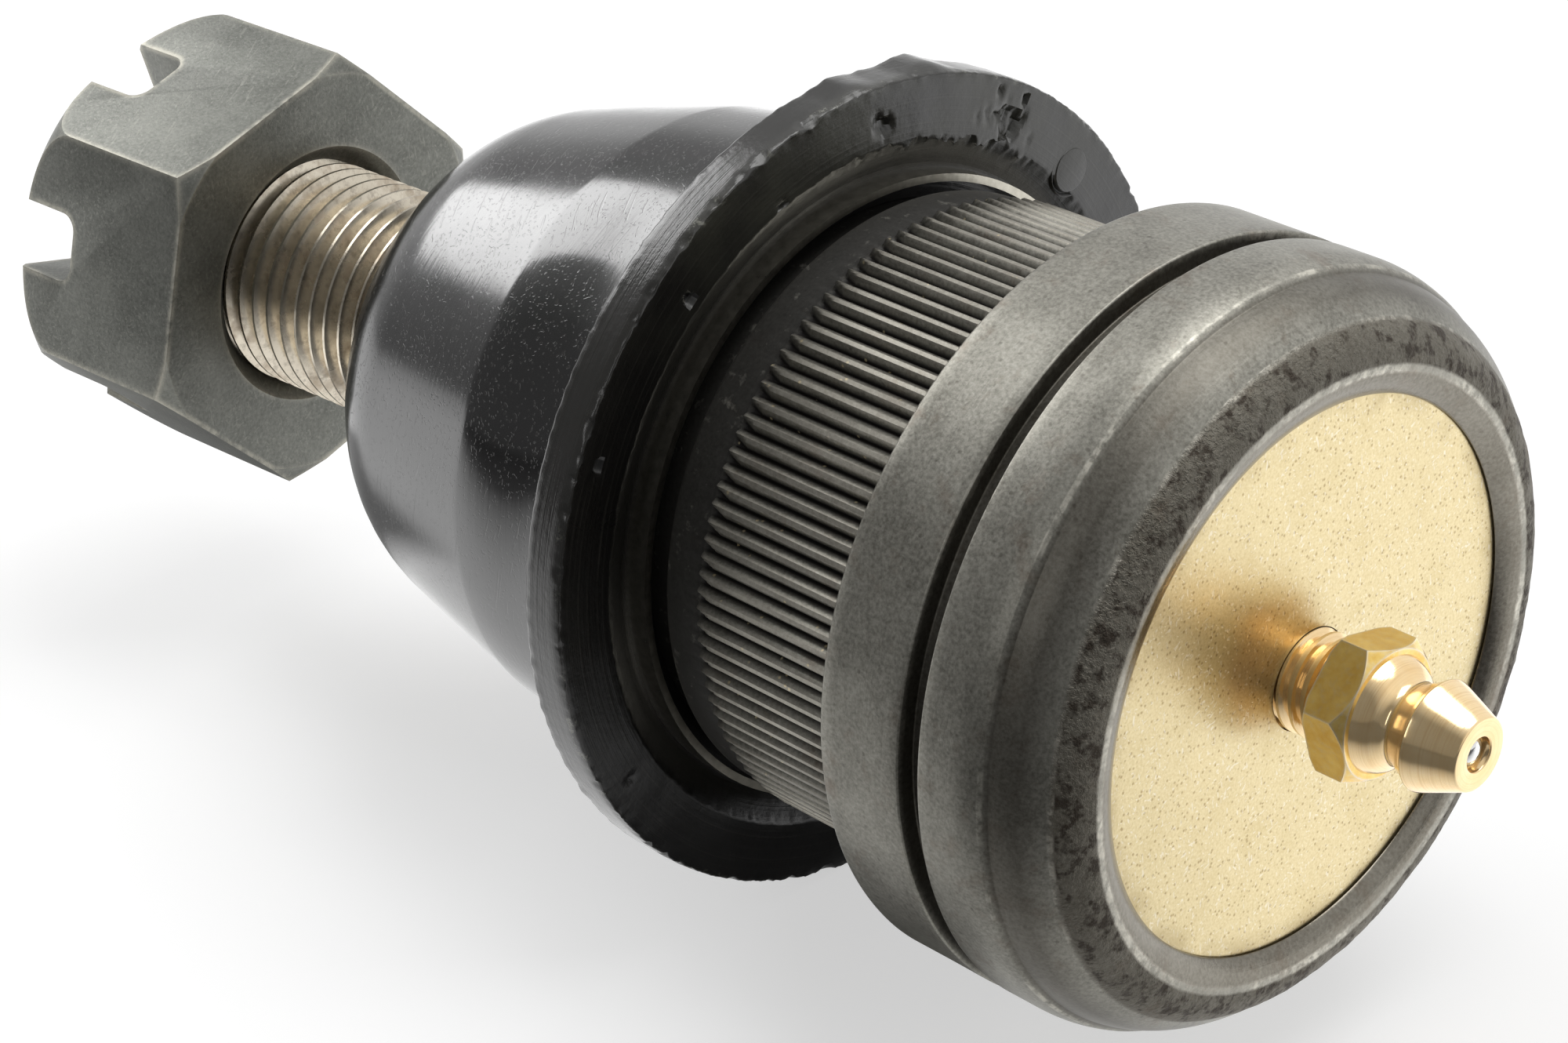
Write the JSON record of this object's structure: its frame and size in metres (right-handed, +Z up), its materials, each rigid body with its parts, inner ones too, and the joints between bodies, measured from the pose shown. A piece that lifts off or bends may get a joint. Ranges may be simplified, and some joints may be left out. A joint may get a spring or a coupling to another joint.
{
  "type": "suspension ball joint",
  "caption": "Pressed-in suspension ball joint with a serrated steel housing, greasable cover, swivelling tapered stud, rubber dust boot and slotted nut.",
  "frame": {"origin": "centre of the ball, on the housing's axis", "axes": "+X along the housing's axis towards the cover and grease fitting, the stud leaves toward -X; +Z up"},
  "size_m": [0.113, 0.0532, 0.0532],
  "materials": {
    "housing_steel": "dark oiled phosphate over machined forged steel",
    "zinc_plate": "pale gold chromate over zinc",
    "spring_steel": "bare spring steel",
    "bearing_steel": "sintered steel",
    "stud_steel": "bright machined steel",
    "nut_steel": "grey phosphate",
    "boot_rubber": "glossy black moulded rubber",
    "ring_steel": "zinc-plated steel strip",
    "fitting_steel": "yellow chromate over zinc, bright",
    "check_ball_steel": "polished steel"
  },
  "bodies": {
    "housing": {"housing": "housing_steel", "cover_plate": "zinc_plate", "preload_spring": "spring_steel", "dust_boot": "boot_rubber", "boot_retainer_ring": "ring_steel", "fitting_body": "fitting_steel", "fitting_spring": "spring_steel"},
    "bearings": {"upper_bearing": "bearing_steel", "lower_bearing": "bearing_steel"},
    "collar": {"boot_collar_ring": "ring_steel"},
    "stud": {"ball_stud": "stud_steel", "castle_nut": "nut_steel"},
    "check_ball": {"fitting_ball": "check_ball_steel"}
  },
  "joints": [
    {"name": "swivel", "type": "hinge", "parent": "housing", "child": "bearings", "pos_m": [0, 0, 0], "axis": [1, 0, 0], "continuous": true},
    {"name": "tilt", "type": "hinge", "parent": "bearings", "child": "collar", "pos_m": [0, 0, 0], "axis": [0, 0.1374, 0.9905], "range_deg": [-22.9, 13.1], "deforming": ["dust_boot"]},
    {"name": "spin", "type": "hinge", "parent": "collar", "child": "stud", "pos_m": [0, 0, 0], "axis": [-0.9963, -0.0846, 0.0117], "continuous": true},
    {"name": "check_valve", "type": "slide", "parent": "housing", "child": "check_ball", "axis": [-1, 0, 0], "range_m": [0, 0.0008], "stiffness_N_per_m": 150, "springref_m": -0.0002, "deforming": ["fitting_spring"]}
  ]
}
